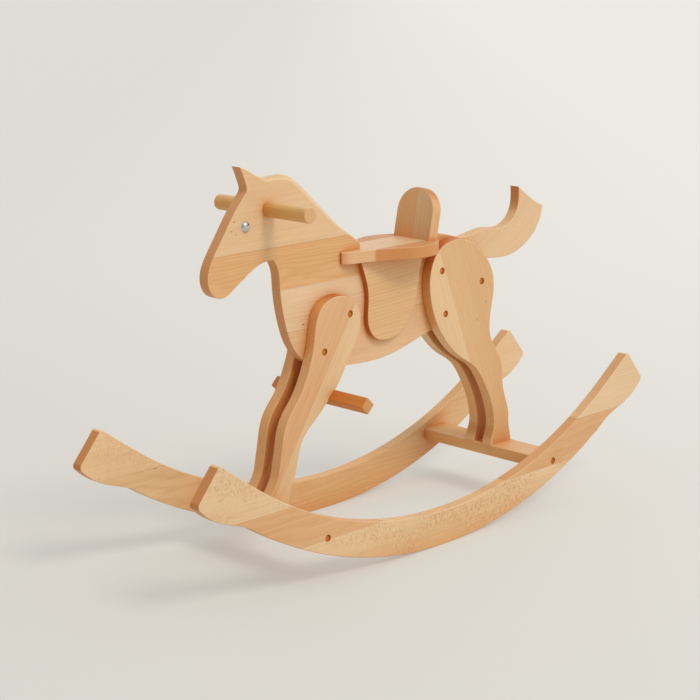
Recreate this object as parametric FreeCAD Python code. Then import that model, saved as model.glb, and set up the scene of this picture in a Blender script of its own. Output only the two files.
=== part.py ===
import FreeCAD, Part
import math
import os

# Child's rocking horse: shaped beech boards screwed and dowelled together.
# Frame: +X forward (towards the head), +Y the horse's left, +Z up.
# Origin: on the floor, mid-plane, under the lowest point of the rocker arcs.

os.makedirs("parts", exist_ok=True)
Vec = FreeCAD.Vector
LEFTWARD, UPWARD = Vec(0, 1, 0), Vec(0, 0, 1)

# ---- driving dimensions (mm) ----
board = 20.0                 # thickness of every main board
half_body = board / 2
leg_outer = half_body + board
leg_middle = half_body + board / 2
rocker_outer = 150.0         # half of the width over the rockers
rocker_inner = rocker_outer - board
rocker_radius = 782.0        # arc that rolls on the floor
rocker_top_radius = 735.0    # upper edge arc
rocker_mid_height = 59.0     # height of the rocker over the contact point
tip_start = 430.0            # the arcs end here and the upturned tips begin
edge_round = 1.5             # softened edge of the boards
mane_round = 9.0             # the neck crest is rounded almost to a half circle
ear_foot_round = 6.0         # and less towards the ear

bar_width = 57.0             # crossbars, same width as the hooves
front_bar_x, front_bar_top = 274.0, 87.0
rear_bar_x, rear_bar_top = -278.5, 92.5
bar_dowel_offset = 18.0      # dowels each side of the screw into the crossbar end
bar_dowel_depth = 8.0        # middle of the dowel, inside the crossbar
foot_screw_offset = 13.0

seat_top = 487.0
seat_bottom = seat_top - board
seat_front, seat_rear = 105.5, -101.5
seat_front_half, seat_rear_half = 14.0, 26.0   # half widths of the straight ends
neck_x = 59.5                # the neck leaves the seat here
flap_thickness = 10.0

handle_x, handle_z = 260.0, 575.0
handle_radius, handle_length = 12.5, 208.0
eye_x, eye_z, eye_radius, eye_height = 308.0, 552.5, 9.0, 5.5

backrest_width, backrest_top = 82.0, 571.5
backrest_lean = 12.0         # degrees, leaning back
backrest_x = -73.0           # front face where it meets the seat
backrest_screw_y = 24.0

rest_x, rest_z = 140.0, 254.5   # centre of the footrest bar
rest_size, rest_length = 20.0, 213.0
rest_turn = 45.0

front_bolts = [(102.5, 388), (161, 334.5)]
rear_bolts = [(-119, 428), (-222, 396), (-128.5, 352)]
tail_joint_top, tail_joint_low = (-190.5, 473.5), (-235, 431)

plug_radius, plug_sunk = 6.0, 2.5   # the plugs sit a little below the board face
recess = 10.0                # depth of a counterbore under a plug
bore_radius = 5.0            # counterbore of a screw on a hidden face
shallow_recess = 2.0         # depth of a screw head below a hidden face
seat_recess = 5.0            # the same under the seat
head_radius, head_height = 4.8, 3.0
bolt_radius, sleeve_radius = 3.0, 4.0
bolt_reach = 14.0            # the bolt ends this far right of the mid-plane
screw_radius, screw_tip, screw_point = 2.5, 5.0, 0.6
screw_length, bar_screw_length = 42.0, 55.0
dowel_radius, dowel_length = 4.0, 40.0
flap_dowel_radius = 3.0
flap_dowel_cover = 3.5       # wood left over the ends of the flap dowels
flap_dowel_places = [(30, 440), (-47, 440), (5.5, 352)]
seat_dowel_places, seat_dowel_length = (34, -20, -56), 32.0
seat_dowel_drop = 4.0        # middle of the seat dowels, below the seat board
nut_gap = 2.0                # the sleeve nut stops short of the mid-plane
eye_pin_radius, eye_pin_depth = 1.5, 7.0
clear = 200.0                # a cutting block larger than the backrest


def save(shape, name):
    shape.exportStep("parts/" + name + ".step")


def mirrored(shape):
    return shape.mirror(Vec(0, 0, 0), LEFTWARD)


def run_edges(points, place, split=None):
    """Two points give a line, three an arc, more a smooth curve, which may be cut at one of its points."""
    p = [place(a, b) for a, b in points]
    if len(p) == 2:
        return [Part.makeLine(p[0], p[1])]
    if len(p) == 3:
        return [Part.Arc(p[0], p[1], p[2]).toShape()]
    curve = Part.BSplineCurve()
    curve.interpolate(p)
    if split not in points:
        return [curve.toShape()]
    cut = curve.parameter(place(*split))
    return [curve.toShape(curve.FirstParameter, cut), curve.toShape(cut, curve.LastParameter)]


def outline(runs, place, split=None):
    return Part.Wire([edge for run in runs for edge in run_edges(run, place, split)])


def side_face(runs, split=None):
    """A closed outline drawn in the side view (X, Z)."""
    return Part.Face(outline(runs, lambda a, b: Vec(a, 0, b), split))


def slab(face, y0, y1):
    solid = face.extrude(LEFTWARD * (y1 - y0))
    solid.translate(LEFTWARD * y0)
    return solid


def round_edges(solid, radii):
    """Round edges in one operation: radii holds (edge number, radius at its start, radius at its end)."""
    drawing = FreeCAD.newDocument("rounding")
    blank = drawing.addObject("Part::Feature", "blank")
    blank.Shape = solid
    rounded = drawing.addObject("Part::Fillet", "rounded")
    rounded.Base = blank
    rounded.Edges = radii
    drawing.recompute()
    shape = rounded.Shape.copy()
    FreeCAD.closeDocument(drawing.Name)
    return shape


def soften(solid, y_planes, keep_sharp=lambda x, z: False, radius_at=lambda x, z: edge_round):
    """Round the board edges that lie on the given Y planes; the radius may change along an edge."""
    radii = []
    for number, edge in enumerate(solid.Edges, 1):
        box = edge.BoundBox
        flat = box.YLength < 0.01 and min(abs(box.YMin - y) for y in y_planes) < 0.01
        start, end = edge.valueAt(edge.FirstParameter), edge.valueAt(edge.LastParameter)
        middle = edge.valueAt((edge.FirstParameter + edge.LastParameter) / 2)
        if flat and not keep_sharp(middle.x, middle.z):
            radii.append((number, radius_at(start.x, start.z), radius_at(end.x, end.z)))
    return round_edges(solid, radii)


def rod(start, direction, radius, length):
    return Part.makeCylinder(radius, length, start, direction)


def screw(start, direction, length):
    """Flat head at start, shank running along direction to a point."""
    head = rod(start, direction, head_radius, head_height)
    shank = rod(start, direction, screw_radius, length)
    tip = Part.makeCone(screw_radius, screw_point, screw_tip, start + direction * length, direction)
    return head.fuse([shank, tip]).removeSplitter()


def dowel(centre, direction, radius=dowel_radius, length=dowel_length):
    pin = rod(centre - direction * (length / 2), direction, radius, length)
    return pin.makeChamfer(0.8, [e for e in pin.Edges if e.Closed])


def plug(x, z, side, outer):
    """Flat wooden plug pressed into a counterbore of a board face."""
    foot = outer - recess + head_height
    return rod(Vec(x, side * foot, z), LEFTWARD * side, plug_radius, outer - plug_sunk - foot)


def group(solids):
    return Part.makeCompound(solids)


# ---- rockers ----
def low_point(x):
    return (x, rocker_radius - math.sqrt(rocker_radius ** 2 - x ** 2))


def top_point(x):
    return (x, rocker_mid_height + rocker_top_radius - math.sqrt(rocker_top_radius ** 2 - x ** 2))


tip_runs = [
    [low_point(tip_start), (447, 137.2), (469, 144.7), (490, 152.5), (509, 163), (529, 180)],
    [(529, 180), (533, 186), (531, 192.5)],
    [(531, 192.5), (495.5, 235.5)],
    [(495.5, 235.5), (491, 239), (484.5, 237)],
    [(484.5, 237), (468.5, 225.5), (452, 213.5), top_point(tip_start)],
]
rear_tip_runs = [[(-x, z) for x, z in reversed(run)] for run in reversed(tip_runs)]
rocker_runs = ([[low_point(-tip_start), (0, 0), low_point(tip_start)]] + tip_runs
               + [[top_point(tip_start), (0, rocker_mid_height), top_point(-tip_start)]]
               + rear_tip_runs)
rocker = soften(slab(side_face(rocker_runs), rocker_inner, rocker_outer), [rocker_inner, rocker_outer])

# ---- crossbars between the rockers, with their screws, dowels and plugs ----
bars, rocker_screws, rocker_dowels, rocker_plugs, rocker_bores = [], [], [], [], []
bar_places = [(front_bar_x, front_bar_top), (rear_bar_x, rear_bar_top)]
for bar_x, bar_top in bar_places:
    bar_z = bar_top - board / 2
    bar = Part.makeBox(bar_width, 2 * rocker_inner, board,
                       Vec(bar_x - bar_width / 2, -rocker_inner, bar_top - board))
    long_edges = [e for e in bar.Edges if e.BoundBox.YLength > rocker_inner]
    bars.append(bar.makeFillet(edge_round, long_edges))
    for side in (1, -1):
        inward = LEFTWARD * -side
        head_y = rocker_outer - recess + head_height
        rocker_screws.append(screw(Vec(bar_x, side * head_y, bar_z), inward, bar_screw_length))
        rocker_plugs.append(plug(bar_x, bar_z, side, rocker_outer))
        rocker_bores.append(rod(Vec(bar_x, side * rocker_outer, bar_z), inward, plug_radius, recess))
        for offset in (-bar_dowel_offset, bar_dowel_offset):
            place = Vec(bar_x + offset, side * (rocker_inner - bar_dowel_depth), bar_z)
            rocker_dowels.append(dowel(place, inward))

# ---- body panel: head, neck, chest, belly and rump in one glued-up board ----
mane_widest, ear_foot = (196.5, 612), (260, 623)
body_runs = [
    [(317, 645.5), (311.5, 633.5), (306.5, 621), (303.5, 611.5), (305.5, 604.5)],
    [(305.5, 604.5), (316.5, 592.5), (335, 570), (355, 541), (373, 515), (383.5, 495), (386, 477.5),
     (379.5, 459.5), (365.5, 449.5), (350, 449.5), (332.5, 459.5), (310.5, 473.5), (288.5, 486.5),
     (269.5, 492.5), (251.5, 493.5)],
    [(251.5, 493.5), (241.5, 476), (238, 447), (234, 415), (225.5, 380), (208.5, 342.5), (178, 315),
     (124, 300.5), (61, 295), (6, 295.5), (-44, 304), (-104, 320.5), (-156.5, 336.5), (-194.5, 366.5),
     (-220, 402), tail_joint_low],
    [tail_joint_low, tail_joint_top],
    [tail_joint_top, (-160.5, 482.5), (-130.5, 489), (-90.5, 491)],
    [(-90.5, 491), (52.5, 492.5)],
    [(52.5, 492.5), (64.5, 501.5), (84, 515.5), (106, 531.5), (130, 553), (153.5, 575), (175.5, 595),
     mane_widest, (215.5, 622.5), (240, 624.8), ear_foot],
    [ear_foot, (276, 625.5)],
    [(276, 625.5), (288.5, 632), (297, 636.8), (306.5, 641.5), (317, 645.5)],
]


def on_tail_joint(x, z):
    return tail_joint_low[0] < x < tail_joint_top[0] and tail_joint_low[1] < z < tail_joint_top[1]


def body_round(x, z):
    for (place_x, place_z), radius in ((mane_widest, mane_round), (ear_foot, ear_foot_round)):
        if math.hypot(x - place_x, z - place_z) < 0.5:
            return radius
    return edge_round


body = slab(side_face(body_runs, mane_widest), -half_body, half_body)
body = soften(body, [-half_body, half_body], on_tail_joint, body_round)
housing = Part.makeBox(neck_x - seat_rear, 3 * board, 3 * board, Vec(seat_rear, -1.5 * board, seat_bottom))
body = body.cut(housing)

# ---- tail: separate board butted to the rump ----
tail_runs = [
    [tail_joint_top, (-220.5, 477.5), (-257.5, 482), (-292.5, 479), (-320.5, 487), (-337.5, 505),
     (-343, 527), (-342, 547)],
    [(-342, 547), (-359, 535.5), (-380, 521.5), (-396, 512.5), (-410.5, 506.5)],
    [(-410.5, 506.5), (-405.5, 486.5), (-391.5, 463.5), (-365, 443), (-333, 429.5), (-300, 426),
     (-265, 428.5), tail_joint_low],
    [tail_joint_low, tail_joint_top],
]
tail = soften(slab(side_face(tail_runs), -half_body, half_body), [-half_body, half_body], on_tail_joint)
joint_start = Vec(tail_joint_low[0], 0, tail_joint_low[1])
joint_line = Vec(tail_joint_top[0], 0, tail_joint_top[1]) - joint_start
joint_normal = Vec(-joint_line.z, 0, joint_line.x).normalize()
tail_dowels = [dowel(joint_start + joint_line * share, joint_normal) for share in (0.3, 0.7)]

# ---- seat: one board let into the body and slotted round the neck ----
seat_half = [(seat_front, seat_front_half), (92.5, 22), (66.5, 28), (39.5, 37.5), (10.5, 52.5),
             (-15.5, 65), (-43.5, 69), (-71.5, 62), (-91.5, 46), (seat_rear, seat_rear_half)]
seat_runs = [
    seat_half,
    [(seat_rear, seat_rear_half), (seat_rear, -seat_rear_half)],
    [(x, -y) for x, y in reversed(seat_half)],
    [(seat_front, -seat_front_half), (seat_front, seat_front_half)],
]
seat = Part.Face(outline(seat_runs, lambda a, b: Vec(a, b, seat_bottom))).extrude(UPWARD * board)
seat = seat.makeFillet(edge_round, [e for e in seat.Edges if e.BoundBox.ZLength < 0.01])
slot = Part.makeBox(seat_front, board, 2 * board, Vec(neck_x, -half_body, seat_bottom - half_body))
seat = seat.cut(slot)
seat_dowels = [dowel(Vec(x, 0, seat_bottom - seat_dowel_drop), UPWARD, length=seat_dowel_length)
               for x in seat_dowel_places]

# ---- backrest: round-topped board leaning back on the rear of the seat ----
lean = math.radians(backrest_lean)
up_board = Vec(-math.sin(lean), 0, math.cos(lean))
rear_way = Vec(-math.cos(lean), 0, -math.sin(lean))
half_back = backrest_width / 2
slope_height = (backrest_top - seat_top) / math.cos(lean)
below_seat = board * math.tan(lean) + 5


def back_point(y, height):
    return Vec(backrest_x, y, seat_top) + up_board * height


arch = slope_height - half_back
back_wire = Part.Wire([
    Part.makeLine(back_point(-half_back, -below_seat), back_point(half_back, -below_seat)),
    Part.makeLine(back_point(half_back, -below_seat), back_point(half_back, arch)),
    Part.Arc(back_point(half_back, arch), back_point(0, slope_height),
             back_point(-half_back, arch)).toShape(),
    Part.makeLine(back_point(-half_back, arch), back_point(-half_back, -below_seat)),
])
backrest = Part.Face(back_wire).extrude(rear_way * board)
rims = [e for e in backrest.Edges
        if e.BoundBox.ZMax > seat_top and e.BoundBox.YLength + e.BoundBox.ZLength > 2 * edge_round + board]
backrest = backrest.makeFillet(edge_round, rims)
backrest = backrest.cut(Part.makeBox(clear, clear, clear, Vec(-clear, -clear / 2, seat_top - clear)))
backrest_screws, seat_bores = [], []
for y in (-backrest_screw_y, backrest_screw_y):
    foot = back_point(y, 0) + rear_way * (board / 2)
    backrest_screws.append(screw(foot - up_board * (board - seat_recess), up_board, screw_length))
    seat_bores.append(rod(foot - up_board * 1.5 * board, up_board, bore_radius,
                          board / 2 + seat_recess + head_height))

# ---- saddle flaps: thin boards on both sides of the body ----
flap_outer = half_body + flap_thickness
flap_runs = [
    [(-87, seat_bottom), (66, seat_bottom)],
    [(66, seat_bottom), (59, 447.5), (52, 425.5), (49.5, 400.5), (50, 360.5), (41.5, 342.5), (24, 330.5),
     (6, 328), (-18, 331.5), (-39.5, 345.5), (-57.5, 370.5), (-69, 404.5), (-76, 439.5),
     (-87, seat_bottom)],
]
flap = soften(slab(side_face(flap_runs), half_body, flap_outer), [flap_outer],
              lambda x, z: z > seat_bottom - 1)
flap_dowels = [dowel(Vec(x, 0, z), LEFTWARD, flap_dowel_radius, 2 * (flap_outer - flap_dowel_cover))
               for x, z in flap_dowel_places]

# ---- legs, clamped either side of the body, hooves on the crossbars ----
front_foot = front_bar_x - bar_width / 2, front_bar_x + bar_width / 2
rear_foot = rear_bar_x - bar_width / 2, rear_bar_x + bar_width / 2
front_leg_runs = [
    [(front_foot[1], front_bar_top), (297, 98.5), (285, 116.5), (274, 131.5), (266.5, 145), (262.5, 162),
     (257.5, 187), (252.5, 214), (240, 242), (221.5, 264), (202.5, 295.5), (190, 326.5), (183, 356.5),
     (178.5, 382.5), (167, 406.5), (149, 418), (124, 421.5), (98, 412), (81.5, 390.5), (78.5, 366.5),
     (91.5, 336.5), (112, 304), (134.5, 271), (156.5, 249), (182, 226), (203, 208), (215, 190),
     (223, 164), (228.5, 143), (238, 123), (243.5, 106), (front_foot[0], front_bar_top)],
    [(front_foot[0], front_bar_top), (front_foot[1], front_bar_top)],
]
rear_leg_runs = [
    [(rear_foot[1], rear_bar_top), (-254.5, 110), (-259.5, 124.5), (-258.5, 144.5), (-249, 177),
     (-231, 212), (-205.5, 245), (-171.5, 266.5), (-140, 293), (-112, 329), (-95.5, 367), (-89, 404),
     (-93, 436), (-110.5, 464), (-134.5, 475.5), (-158.5, 478), (-186.5, 472.5), (-217.5, 453),
     (-243, 425), (-254.5, 392), (-251, 354), (-245, 320), (-250, 288), (-266.5, 262.5),
     (-278.5, 238.5), (-282, 204.5), (-292, 169.5), (-300, 140.5), (-300.5, 123.5), (-303.5, 109.5),
     (rear_foot[0], rear_bar_top)],
    [(rear_foot[0], rear_bar_top), (rear_foot[1], rear_bar_top)],
]


def leg_board(runs, foot_z):
    leg = slab(side_face(runs), half_body, leg_outer)
    return soften(leg, [half_body, leg_outer], lambda x, z: z < foot_z + 1)


front_leg = leg_board(front_leg_runs, front_bar_top)
rear_leg = leg_board(rear_leg_runs, rear_bar_top)

# ---- leg bolts: bolt from the left, sleeve nut from the right, plugs over both ----
head_seat = leg_outer - recess
barrel_length = head_seat - nut_gap
leg_bolts, sleeve_nuts, left_plugs, right_plugs, leg_bores = [], [], [], [], []
for x, z in front_bolts + rear_bolts:
    head = rod(Vec(x, head_seat, z), LEFTWARD, head_radius, head_height)
    shank = rod(Vec(x, -bolt_reach, z), LEFTWARD, bolt_radius, head_seat + bolt_reach)
    leg_bolts.append(head.fuse(shank).removeSplitter())
    nut_head = rod(Vec(x, -head_seat - head_height, z), LEFTWARD, head_radius, head_height)
    barrel = rod(Vec(x, -head_seat, z), LEFTWARD, sleeve_radius, barrel_length)
    thread = rod(Vec(x, -bolt_reach, z), LEFTWARD, bolt_radius, bolt_reach)
    sleeve_nuts.append(nut_head.fuse(barrel).removeSplitter().cut(thread))
    left_plugs.append(plug(x, z, 1, leg_outer))
    right_plugs.append(plug(x, z, -1, leg_outer))
    leg_bores.append(barrel)
    leg_bores.append(rod(Vec(x, head_seat, z), LEFTWARD, plug_radius, recess))
    leg_bores.append(rod(Vec(x, -leg_outer, z), LEFTWARD, plug_radius, recess))

# ---- foot screws: up through each crossbar into the hooves ----
foot_screws, foot_bores = [], []
for bar_x, bar_top in bar_places:
    for offset in (-foot_screw_offset, foot_screw_offset):
        for y in (leg_middle, -leg_middle):
            under = Vec(bar_x + offset, y, bar_top - board)
            foot_screws.append(screw(under + UPWARD * shallow_recess, UPWARD, screw_length))
            foot_bores.append(rod(under, UPWARD, bore_radius, shallow_recess + head_height))

# ---- footrest: square bar let into the rear edges of the front legs ----
rest_block = Part.makeBox(rest_size, rest_length, rest_size,
                          Vec(-rest_size / 2, -rest_length / 2, -rest_size / 2))
rest = rest_block.makeFillet(edge_round, rest_block.Edges)
for shape in (rest, rest_block):
    shape.rotate(Vec(0, 0, 0), LEFTWARD, rest_turn)
    shape.translate(Vec(rest_x, 0, rest_z))
rest_way = Vec(math.cos(math.radians(rest_turn)), 0, math.sin(math.radians(rest_turn)))
rest_screws, rest_bores = [], []
for y in (leg_middle, -leg_middle):
    start = Vec(rest_x, y, rest_z) - rest_way * (rest_size / 2)
    rest_screws.append(screw(start + rest_way * shallow_recess, rest_way, screw_length))
    rest_bores.append(rod(start, rest_way, bore_radius, shallow_recess + head_height))

# ---- handle through the head ----
handle = rod(Vec(handle_x, -handle_length / 2, handle_z), LEFTWARD, handle_radius, handle_length)
handle_bore = handle.copy()
handle = handle.makeFillet(edge_round, [e for e in handle.Edges if e.Closed])

# ---- eyes: chromed dome nails ----
eye_ball = (eye_radius ** 2 + eye_height ** 2) / (2 * eye_height)
eye_dome = Part.makeSphere(eye_ball, Vec(eye_x, half_body + eye_height - eye_ball, eye_z))
eye_dome = eye_dome.common(rod(Vec(eye_x, half_body, eye_z), LEFTWARD, eye_radius, eye_height + 1))
eye_pin = rod(Vec(eye_x, half_body - eye_pin_depth, eye_z), LEFTWARD, eye_pin_radius, eye_pin_depth + 1)
eye = eye_dome.fuse(eye_pin).removeSplitter()

# ---- cut every hole with the solid that fills it ----
rocker_cuts = rocker_bores + rocker_screws + rocker_dowels
rocker_left = rocker.cut(rocker_cuts)
rocker_right = mirrored(rocker).cut(rocker_cuts)
bar_cuts = rocker_screws + rocker_dowels + foot_screws + foot_bores
front_bar, rear_bar = [bar.cut(bar_cuts) for bar in bars]
leg_cuts = leg_bores + leg_bolts + foot_screws + rest_screws + [rest_block]
front_leg_left = front_leg.cut(leg_cuts)
front_leg_right = mirrored(front_leg).cut(leg_cuts)
rear_leg_left = rear_leg.cut(leg_cuts)
rear_leg_right = mirrored(rear_leg).cut(leg_cuts)
body = body.cut(leg_bores + leg_bolts + tail_dowels + seat_dowels + flap_dowels
                + [handle_bore, eye_pin, mirrored(eye_pin)])
tail = tail.cut(tail_dowels)
seat = seat.cut(seat_dowels + backrest_screws + seat_bores)
backrest = backrest.cut(backrest_screws)
flap_left = flap.cut(flap_dowels)
flap_right = mirrored(flap).cut(flap_dowels)
rest = rest.cut(rest_screws + rest_bores)

# ---- one file per sub-part ----
sub_parts = {
    "rocker_left": rocker_left,
    "rocker_right": rocker_right,
    "front_crossbar": front_bar,
    "rear_crossbar": rear_bar,
    "rocker_screws": group(rocker_screws),
    "rocker_dowels": group(rocker_dowels),
    "rocker_plugs": group(rocker_plugs),
    "body_panel": body,
    "tail_panel": tail,
    "tail_dowels": group(tail_dowels),
    "seat_board": seat,
    "seat_dowels": group(seat_dowels),
    "backrest": backrest,
    "backrest_screws": group(backrest_screws),
    "saddle_flap_left": flap_left,
    "saddle_flap_right": flap_right,
    "flap_dowels": group(flap_dowels),
    "front_leg_left": front_leg_left,
    "front_leg_right": front_leg_right,
    "rear_leg_left": rear_leg_left,
    "rear_leg_right": rear_leg_right,
    "leg_bolts": group(leg_bolts),
    "leg_sleeve_nuts": group(sleeve_nuts),
    "leg_plugs_left": group(left_plugs),
    "leg_plugs_right": group(right_plugs),
    "foot_screws": group(foot_screws),
    "footrest_bar": rest,
    "footrest_screws": group(rest_screws),
    "handle_dowel": handle,
    "eye_left": eye,
    "eye_right": mirrored(eye),
}
for name, shape in sub_parts.items():
    save(shape, name)
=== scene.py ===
import bpy
import math
from mathutils import Matrix, Vector

# Rocking horse of oiled beech on a plain pale floor. Metres, in the frame of the CAD model:
# +X towards the head, +Y the horse's left, +Z up, the origin on the floor under the rockers.

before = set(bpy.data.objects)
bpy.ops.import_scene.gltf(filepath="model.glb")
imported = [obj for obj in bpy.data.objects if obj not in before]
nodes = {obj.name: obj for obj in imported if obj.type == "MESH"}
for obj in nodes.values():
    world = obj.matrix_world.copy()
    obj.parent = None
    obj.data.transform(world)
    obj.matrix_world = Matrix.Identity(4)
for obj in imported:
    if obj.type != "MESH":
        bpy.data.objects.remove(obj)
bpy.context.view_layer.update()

ALONG_X = Vector((1, 0, 0))
ALONG_Y = Vector((0, 1, 0))
ALONG_Z = Vector((0, 0, 1))
LAST_BAND = 0.01          # how far the last of a run of bands reaches in its colour ramp


def linear(red, green, blue):
    """An sRGB colour, 0 to 255, as the linear colour that the shaders use."""
    parts = [c / 255 for c in (red, green, blue)]
    return [c / 12.92 if c <= 0.04045 else ((c + 0.055) / 1.055) ** 2.4 for c in parts] + [1.0]


class Graph:
    """The node tree of one material, with short names for the steps that the materials share."""

    def __init__(self, name):
        self.material = bpy.data.materials.new(name)
        self.material.use_nodes = True
        self.nodes = self.material.node_tree.nodes
        self.links = self.material.node_tree.links
        self.nodes.clear()
        self.shader = self.nodes.new("ShaderNodeBsdfPrincipled")
        output = self.nodes.new("ShaderNodeOutputMaterial")
        self.links.new(self.shader.outputs["BSDF"], output.inputs["Surface"])
        self.place = self.nodes.new("ShaderNodeTexCoord")

    def feed(self, socket, value):
        if isinstance(value, bpy.types.NodeSocket):
            self.links.new(value, socket)
        else:
            socket.default_value = value

    def math(self, operation, first, second=0.0):
        node = self.nodes.new("ShaderNodeMath")
        node.operation = operation
        for socket, value in zip(node.inputs, (first, second)):
            self.feed(socket, value)
        return node.outputs["Value"]

    def add(self, first, second):
        return self.math("ADD", first, second)

    def times(self, first, second):
        return self.math("MULTIPLY", first, second)

    def size(self, value):
        return self.math("ABSOLUTE", value)

    def invert(self, value):
        return self.math("SUBTRACT", 1.0, value)

    def smooth(self, value, low, high):
        """0 below low, 1 above high, and a soft step between."""
        node = self.nodes.new("ShaderNodeMapRange")
        node.interpolation_type = "SMOOTHSTEP"
        self.feed(node.inputs["Value"], value)
        self.feed(node.inputs["From Min"], low)
        self.feed(node.inputs["From Max"], high)
        return node.outputs["Result"]

    def dot(self, vector, direction):
        node = self.nodes.new("ShaderNodeVectorMath")
        node.operation = "DOT_PRODUCT"
        self.feed(node.inputs[0], vector)
        self.feed(node.inputs[1], direction)
        return node.outputs["Value"]

    def length(self, vector):
        node = self.nodes.new("ShaderNodeVectorMath")
        node.operation = "LENGTH"
        self.feed(node.inputs[0], vector)
        return node.outputs["Value"]

    def stretch(self, vector, scale):
        node = self.nodes.new("ShaderNodeVectorMath")
        node.operation = "MULTIPLY"
        self.feed(node.inputs[0], vector)
        self.feed(node.inputs[1], scale)
        return node.outputs["Vector"]

    def combine(self, x, y, z):
        node = self.nodes.new("ShaderNodeCombineXYZ")
        for socket, value in zip(node.inputs, (x, y, z)):
            self.feed(socket, value)
        return node.outputs["Vector"]

    def noise(self, vector, detail):
        """Noise between 0 and 1 with one cell to a unit of the vector."""
        node = self.nodes.new("ShaderNodeTexNoise")
        self.feed(node.inputs["Vector"], vector)
        self.feed(node.inputs["Scale"], 1.0)
        self.feed(node.inputs["Detail"], detail)
        return node.outputs["Fac"]

    def spots(self, vector, size, share):
        """Separate spots: size is their reach in a cell, share is how many cells have one."""
        node = self.nodes.new("ShaderNodeTexVoronoi")
        self.feed(node.inputs["Vector"], vector)
        self.feed(node.inputs["Scale"], 1.0)
        lot, spread, _ = self.split(node.outputs["Color"])
        chosen = self.math("GREATER_THAN", share, lot)
        reach = self.times(self.add(spread, 0.5), size)
        inside = self.invert(self.smooth(node.outputs["Distance"], 0.0, reach))
        return self.times(inside, chosen)

    def steps(self, value, bands):
        """Constant bands across a value: each is (start, red, green, blue)."""
        low, high = bands[0][0], bands[-1][0] + LAST_BAND
        node = self.nodes.new("ShaderNodeValToRGB")
        ramp = node.color_ramp
        ramp.interpolation = "CONSTANT"
        ramp.elements.remove(ramp.elements[-1])
        while len(ramp.elements) < len(bands):
            ramp.elements.new(1.0)
        for element, band in zip(ramp.elements, bands):
            element.position = (band[0] - low) / (high - low)
            element.color = [*band[1:4], 1.0]
        share = self.nodes.new("ShaderNodeMapRange")
        self.feed(share.inputs["Value"], value)
        self.feed(share.inputs["From Min"], low)
        self.feed(share.inputs["From Max"], high)
        self.links.new(share.outputs["Result"], node.inputs["Fac"])
        return node.outputs["Color"]

    def split(self, colour):
        node = self.nodes.new("ShaderNodeSeparateColor")
        self.links.new(colour, node.inputs["Color"])
        return [node.outputs[name] for name in ("Red", "Green", "Blue")]

    def hollow(self, reach):
        """1 in the open, falling to 0 in a narrow corner; the mask for painted shade."""
        node = self.nodes.new("ShaderNodeAmbientOcclusion")
        node.samples = 8
        self.feed(node.inputs["Distance"], reach)
        return node.outputs["AO"]

    def mix(self, share, first, second, kind="MIX"):
        node = self.nodes.new("ShaderNodeMix")
        node.data_type = "RGBA"
        node.blend_type = kind
        share_socket, first_colour, second_colour = node.inputs[0], node.inputs[6], node.inputs[7]
        mixed_colour = node.outputs[2]
        self.feed(share_socket, share)
        self.feed(first_colour, first)
        self.feed(second_colour, second)
        return mixed_colour

    def bump(self, height, strength, distance):
        node = self.nodes.new("ShaderNodeBump")
        self.feed(node.inputs["Height"], height)
        self.feed(node.inputs["Strength"], strength)
        self.feed(node.inputs["Distance"], distance)
        self.links.new(node.outputs["Normal"], self.shader.inputs["Normal"])


# ---- colours of the wood ----
BROWN = linear(138, 84, 44)
# painted highlight: the colour of the pale line along rounded edges
PAINTED_EDGE_HIGHLIGHT = linear(240, 212, 172)
END_GRAIN = linear(206, 128, 62)
BODY_END_GRAIN = linear(221, 160, 108)
FOOTREST_END_GRAIN = linear(216, 166, 110)
HANDLE_END_GRAIN = linear(228, 190, 146)
RAY = linear(186, 112, 54)
BARK = linear(84, 46, 24)
# these multiply the colour of the wood
LIGHT_GRAIN = (1.08, 1.10, 1.14, 1.0)
DARK_GRAIN = (0.88, 0.76, 0.62, 1.0)
BOARD_EDGE = (1.02, 0.94, 0.82, 1.0)
# painted shade: multiplies the colour of the wood in narrow corners, where shade falls
PAINTED_CORNER_SHADE = (0.88, 0.58, 0.30, 1.0)
OPEN = (1.0, 1.0, 1.0, 1.0)

FULL_TURN = 2 * math.pi
PITH_DEPTH = 0.045        # metres from the middle plane of a board to the pith of its tree
PITH_SPREAD = 0.16        # metres over which the pith lies to one side or the other
SEED_STEP = 11.0          # metres between two seeds in the noise
PAINTED_SHADE_REACH = 0.11       # metres to the next surface that paints shade into a corner
NO_PLAIN_END = -9.0


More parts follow.
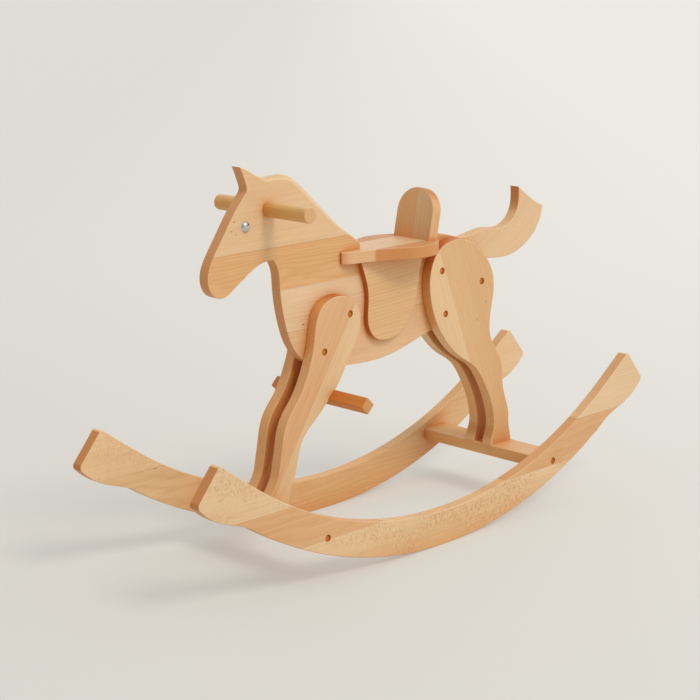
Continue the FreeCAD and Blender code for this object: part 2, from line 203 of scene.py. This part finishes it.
def beech(name, grain, across, staves, marks=(), ring_gap=0.0045, waver=6.0, ends=END_GRAIN,
          plain_end=NO_PLAIN_END):
    """Oiled beech, glued up from staves that lie side by side along the across direction.

    Each stave is (start, colour, rays, lines, seed): rays 0 plain to 1 full of ray flecks, lines the strength
    of the growth rings, seed its place in the tree.
    Each mark is (along, across, length, width, strength): a dark speck of bark or a pin knot.
    ring_gap is the width of a growth ring in metres, and waver how many rings its line strays.
    ends is the colour of the end grain. There are no ray flecks before plain_end, a distance along the grain.
    """
    g = Graph("beech_" + name)
    where = g.place.outputs["Object"]
    normal = g.place.outputs["Normal"]
    deep_way = grain.cross(across)
    along = g.dot(where, grain)
    wide = g.dot(where, across)
    deep = g.dot(where, deep_way)
    base = g.steps(wide, [(start, *linear(*colour)[:3]) for start, colour, _, _, _ in staves])
    rays, lines, seed = g.split(g.steps(wide, [(start, r, l, d) for start, _, r, l, d in staves]))
    rays = g.times(rays, g.smooth(along, plain_end, plain_end + 0.05))
    shift = g.times(seed, SEED_STEP)
    wood_along = g.add(along, shift)
    wood_wide = g.add(wide, shift)
    wood = g.combine(wood_along, wood_wide, deep)

    # growth rings: lines at equal distances from the pith, which stray a little along the board
    stray = g.times(g.noise(g.stretch(wood, (4.0, 18.0, 18.0)), 3.0), waver)
    middle_stave = staves[len(staves) // 2][0]
    pith_wide = g.add(wide, g.times(g.add(seed, -0.5), PITH_SPREAD))
    from_pith = g.length(g.combine(0.0, g.add(pith_wide, -middle_stave), g.add(deep, PITH_DEPTH)))
    ring = g.add(g.times(from_pith, 1 / ring_gap), stray)
    wave = g.add(g.times(g.math("SINE", g.times(ring, FULL_TURN)), 0.5), 0.5)
    ring_line = g.math("POWER", wave, 2.5)

    # finer figure: streaks, fibres, short dashes, and ray flakes that lean this way and that
    streak = g.noise(g.stretch(wood, (7.0, 240.0, 240.0)), 3.0)
    fibre = g.noise(g.stretch(wood, (45.0, 1300.0, 1300.0)), 2.0)
    dashes = g.spots(g.stretch(wood, (200.0, 700.0, 700.0)), 0.42, 0.55)
    lean = g.times(g.add(g.noise(g.stretch(wood, (70.0, 70.0, 70.0)), 1.0), -0.5), 0.012)
    leaning = g.combine(g.add(wood_along, lean), wood_wide, deep)
    flakes = g.spots(g.stretch(leaning, (520.0, 170.0, 520.0)), 0.78, 0.75)
    patch = g.noise(g.stretch(wood, (9.0, 22.0, 22.0)), 2.0)
    flakes = g.times(flakes, g.smooth(patch, 0.3, 0.6))
    flecks = g.add(g.times(dashes, g.invert(rays)), g.times(flakes, rays))

    # colour of the long grain
    slow = g.noise(g.stretch(wood, (2.5, 10.0, 10.0)), 1.0)
    dark = g.add(0.42, g.times(g.add(slow, -0.5), 0.8))
    dark = g.add(dark, g.times(g.add(streak, -0.5), 0.7))
    dark = g.add(dark, g.times(g.times(ring_line, lines), 0.34))
    colour = g.mix(1.0, base, g.mix(dark, LIGHT_GRAIN, DARK_GRAIN), "MULTIPLY")
    colour = g.mix(g.times(g.add(fibre, -0.35), 0.22), colour, BROWN)
    colour = g.mix(g.times(flecks, g.add(g.times(rays, 0.44), 0.10)), colour, RAY)

    # end grain, the edges of the board, and a painted highlight: the pale line where the rounding of an edge begins
    end_grain = g.smooth(g.size(g.dot(normal, grain)), 0.35, 0.90)
    pores = g.noise(g.stretch(where, (900.0, 900.0, 900.0)), 2.0)
    end_colour = g.mix(g.times(pores, 0.4), ends, BROWN)
    colour = g.mix(g.times(end_grain, 0.9), colour, end_colour)
    face = g.size(g.dot(normal, deep_way))
    colour = g.mix(g.invert(g.smooth(face, 0.2, 0.9)), colour, BOARD_EDGE, "MULTIPLY")
    # painted highlight: a pale line painted where the rounding of an edge begins, where the light catches it
    painted_highlight_line = g.times(g.smooth(face, 0.80, 0.95), g.invert(g.smooth(face, 0.985, 0.999)))
    colour = g.mix(g.times(painted_highlight_line, 0.35), colour, PAINTED_EDGE_HIGHLIGHT)

    # glue seams between the staves, and the marks
    for start, _, _, _, _ in staves[1:]:
        seam = g.invert(g.smooth(g.size(g.add(wide, -start)), 0.0001, 0.0007))
        colour = g.mix(g.times(seam, 0.25), colour, BROWN)
    for mark_along, mark_wide, mark_length, mark_width, strength in marks:
        run = g.times(g.add(along, -mark_along), 1 / mark_length)
        side = g.times(g.add(wide, -mark_wide), 1 / mark_width)
        away = g.add(g.times(run, run), g.times(side, side))
        inside = g.invert(g.smooth(away, 0.1, 1.0))
        colour = g.mix(g.times(inside, strength), colour, BARK)

    # painted shade: narrow corners are painted warmer and darker
    painted_shade = g.mix(g.smooth(g.hollow(PAINTED_SHADE_REACH), 0.28, 0.92), PAINTED_CORNER_SHADE, OPEN)
    g.feed(g.shader.inputs["Base Color"], g.mix(1.0, colour, painted_shade, "MULTIPLY"))
    rough = g.add(0.42, g.times(fibre, 0.14))
    rough = g.add(rough, g.times(flecks, 0.06))
    g.feed(g.shader.inputs["Roughness"], g.add(rough, g.times(end_grain, 0.1)))
    g.shader.inputs["Specular IOR Level"].default_value = 0.4
    height = g.add(g.times(fibre, 0.7), g.times(flecks, -0.2))
    g.bump(height, 0.22, 0.0003)
    return g.material


def side_board(angle):
    """Grain and across directions of a board in the side plane, the grain at an angle to +X."""
    turn = math.radians(angle)
    return Vector((math.cos(turn), 0, math.sin(turn))), Vector((-math.sin(turn), 0, math.cos(turn)))


def metal(name, colour, roughness, scratch):
    """Plated steel with a slight haze and fine turning marks."""
    g = Graph(name)
    where = g.place.outputs["Object"]
    haze = g.noise(g.stretch(where, (260.0, 260.0, 260.0)), 3.0)
    fine = g.noise(g.stretch(where, (2500.0, 500.0, 2500.0)), 1.0)
    shade = g.add(g.times(haze, 0.12), 0.9)
    g.feed(g.shader.inputs["Base Color"], g.mix(1.0, colour, g.combine(shade, shade, shade), "MULTIPLY"))
    g.shader.inputs["Metallic"].default_value = 1.0
    g.feed(g.shader.inputs["Roughness"], g.add(roughness, g.times(haze, 0.08)))
    g.bump(fine, scratch, 0.0001)
    return g.material


def finish(node, material):
    slots = nodes[node].data.materials
    slots.clear()
    slots.append(material)


# ---- beech boards: the grain and across directions, the staves, and what else sets a board apart ----
flat = side_board(0)
backrest_lean = math.radians(12)
up_back = Vector((-math.sin(backrest_lean), 0, math.cos(backrest_lean)))
crosswise = (ALONG_Y, ALONG_X)
seat_dark, seat_light = (212, 152, 98), (232, 196, 156)
flap_stave = (0.3, (228, 186, 136), 0.0, 0.8)
flap_rings = {"ring_gap": 0.006, "waver": 2.0}
boards = [
    ("rocker_left", flat,
     [(0.0, (229, 198, 154), 1.0, 0.3, 0.13), (0.075, (222, 176, 127), 0.15, 0.7, 0.41),
      (0.145, (232, 202, 162), 0.9, 0.3, 0.77)],
     {"marks": [(-0.402, 0.113, 0.0028, 0.0016, 0.8)], "plain_end": -0.36}),
    ("rocker_right", flat,
     [(0.0, (229, 189, 138), 0.4, 0.7, 0.18), (0.075, (228, 191, 144), 0.1, 0.9, 0.46),
      (0.157, (236, 202, 158), 0.6, 0.3, 0.82)],
     {"marks": [(-0.294, 0.125, 0.003, 0.0015, 0.7), (0.387, 0.1555, 0.006, 0.001, 0.6)], "plain_end": 0.0}),
    ("body_panel", flat,
     [(0.29, (230, 190, 146), 0.1, 0.5, 0.15), (0.373, (233, 199, 160), 0.15, 0.4, 0.62),
      (0.443, (228, 180, 126), 0.0, 0.8, 0.37), (0.513, (231, 195, 151), 0.1, 0.4, 0.88)],
     {"marks": [(0.331, 0.563, 0.0036, 0.0011, 0.7), (0.337, 0.549, 0.0034, 0.0010, 0.7),
                (0.327, 0.543, 0.0030, 0.0010, 0.6), (0.1886, 0.3813, 0.0030, 0.0014, 0.9)],
      "ring_gap": 0.0035, "ends": BODY_END_GRAIN}),
    ("tail_panel", side_board(150), [(0.0, (230, 195, 153), 0.3, 0.7, 0.3)], {}),
    ("saddle_flap_left", side_board(-3), [(*flap_stave, 0.56)],
     {"marks": [(-0.0446, 0.4014, 0.0012, 0.0012, 0.8)], **flap_rings}),
    ("saddle_flap_right", side_board(2), [(*flap_stave, 0.26)], flap_rings),
    ("seat_board", (ALONG_X, ALONG_Y),
     [(-0.1, seat_dark, 0.0, 0.9, 0.2), (-0.034, seat_light, 0.3, 0.4, 0.5), (0.034, seat_dark, 0.0, 0.9, 0.7)], {}),
    ("backrest", (up_back, ALONG_Y),
     [(-0.05, (227, 175, 122), 0.1, 0.6, 0.2), (0.0, (226, 188, 144), 0.2, 0.4, 0.7)], {}),
    ("front_crossbar", crosswise, [(0.2, (226, 180, 130), 0.2, 0.6, 0.4)], {}),
    ("rear_crossbar", crosswise, [(-0.4, (230, 186, 134), 0.2, 0.6, 0.8)], {}),
    ("footrest_bar", crosswise, [(0.0, (212, 136, 64), 0.0, 0.7, 0.1)], {"ends": FOOTREST_END_GRAIN}),
    ("handle_dowel", crosswise, [(0.0, (226, 180, 118), 0.0, 0.5, 0.9)], {"ends": HANDLE_END_GRAIN}),
]
for side in ("left", "right"):
    boards.append(("front_leg_" + side, side_board(-57.4),
                   [(0.0, (230, 196, 150), 0.2, 0.5, 0.35), (0.295, (226, 180, 132), 0.1, 0.7, 0.45)], {}))
    boards.append(("rear_leg_" + side, side_board(68.4),
                   [(0.0, (232, 199, 154), 0.1, 0.4, 0.65), (0.2745, (225, 183, 133), 0.1, 0.6, 0.75)],
                   {"marks": [(0.228, 0.3176, 0.004, 0.0012, 0.5), (0.247, 0.348, 0.004, 0.0012, 0.5)]}))
for node, (grain, across), staves, extras in boards:
    finish(node, beech(node, grain, across, staves, **extras))

plug_wood = beech("plug", ALONG_X, ALONG_Z, [(-1.0, (202, 124, 40), 0.0, 0.6, 0.6)])
for node in ("leg_plugs_left", "leg_plugs_right", "rocker_plugs"):
    finish(node, plug_wood)
dowel_wood = beech("dowel", *crosswise, [(-1.0, (226, 184, 134), 0.0, 0.5, 0.3)])
for node in ("rocker_dowels", "seat_dowels", "tail_dowels", "flap_dowels"):
    finish(node, dowel_wood)

# ---- metal ----
chrome = metal("eye_chrome", linear(208, 205, 200), 0.06, 0.03)
zinc = metal("zinc_steel", linear(190, 190, 186), 0.32, 0.15)
for node in ("eye_left", "eye_right"):
    finish(node, chrome)
for node in ("rocker_screws", "backrest_screws", "leg_bolts", "leg_sleeve_nuts", "foot_screws", "footrest_screws"):
    finish(node, zinc)

# ---- floor: plain paper, painted a little darker near the camera and on its left (painted shade), and glowing softly (painted light) ----
floor_reach = 40.0
floor_mesh = bpy.data.meshes.new("floor")
corners = [(-floor_reach, -floor_reach, 0), (floor_reach, -floor_reach, 0),
           (floor_reach, floor_reach, 0), (-floor_reach, floor_reach, 0)]
floor_mesh.from_pydata(corners, [], [(0, 1, 2, 3)])
floor = bpy.data.objects.new("floor", floor_mesh)
bpy.context.scene.collection.objects.link(floor)
paper = Graph("floor_paper")
spot = paper.place.outputs["Object"]
fibres = paper.noise(paper.stretch(spot, (400.0, 400.0, 400.0)), 3.0)
# painted shade: the paper is painted darker towards the camera and to its left, where less light falls
sideways = paper.smooth(paper.dot(spot, (-0.707, 0.707, 0.0)), -1.5, 1.5)
away = paper.smooth(paper.dot(spot, (-0.707, -0.707, 0.0)), -1.0, 3.0)
near_sheet = paper.mix(sideways, linear(212, 209, 202), linear(225, 222, 215))
far_sheet = paper.mix(sideways, linear(219, 216, 209), linear(233, 230, 223))
sheet = paper.mix(away, near_sheet, far_sheet)
sheet = paper.mix(paper.times(fibres, 0.06), sheet, linear(200, 197, 190))
# painted light: the paper glows with its own colour, which lifts the shadows cast on it; its reflecting colour is
# scaled down to match
paper.feed(paper.shader.inputs["Base Color"], paper.mix(1.0, sheet, (0.60, 0.60, 0.60, 1.0), "MULTIPLY"))
paper.feed(paper.shader.inputs["Emission Color"], sheet)
paper.shader.inputs["Emission Strength"].default_value = 0.43
paper.shader.inputs["Roughness"].default_value = 0.95
paper.shader.inputs["Specular IOR Level"].default_value = 0.1
floor_mesh.materials.append(paper.material)

# ---- light: a soft key from the horse's left, in a room that is darker and warmer in front of the horse ----
BEHIND = (0.855, 0.911, 1.0, 1.0)
IN_FRONT = (0.378, 0.356, 0.282, 1.0)
world = bpy.data.worlds.new("studio")
bpy.context.scene.world = world
world.use_nodes = True
background = world.node_tree.nodes["Background"]
room = world.node_tree.nodes.new("ShaderNodeTexCoord")
direction = world.node_tree.nodes.new("ShaderNodeSeparateXYZ")
share = world.node_tree.nodes.new("ShaderNodeMapRange")
walls = world.node_tree.nodes.new("ShaderNodeValToRGB")
world.node_tree.links.new(room.outputs["Generated"], direction.inputs["Vector"])
world.node_tree.links.new(direction.outputs["X"], share.inputs["Value"])
world.node_tree.links.new(share.outputs["Result"], walls.inputs["Fac"])
world.node_tree.links.new(walls.outputs["Color"], background.inputs["Color"])
share.inputs["From Min"].default_value = -1.0
walls.color_ramp.elements[0].color = BEHIND
walls.color_ramp.elements[1].color = IN_FRONT
background.inputs["Strength"].default_value = 1.18

key = bpy.data.lights.new("key_light", "SUN")
key.angle = math.radians(20)
key.energy = 1.1
key.color = linear(255, 250, 240)[:3]
key_light = bpy.data.objects.new("key_light", key)
key_light.rotation_euler = Vector((0.05, -0.85, -1.0)).to_track_quat("-Z", "Y").to_euler()
bpy.context.scene.collection.objects.link(key_light)

# ---- camera ----
camera_data = bpy.data.cameras.new("camera")
camera_data.lens = 93.42
camera_data.sensor_width = 36.0
camera_data.clip_end = 200.0
camera = bpy.data.objects.new("camera", camera_data)
bpy.context.scene.collection.objects.link(camera)
right = Vector((-0.70671454, 0.70747331, -0.00600634))
up = Vector((-0.16620837, -0.1577662, 0.97338821))
ahead = Vector((-0.68769858, -0.6889059, -0.22908365))
turned = Matrix((right, up, -ahead)).transposed().to_4x4()
camera.matrix_world = Matrix.Translation((2.13638, 2.06631, 1.00524)) @ turned
bpy.context.scene.camera = camera
bpy.context.scene.view_settings.view_transform = "Standard"
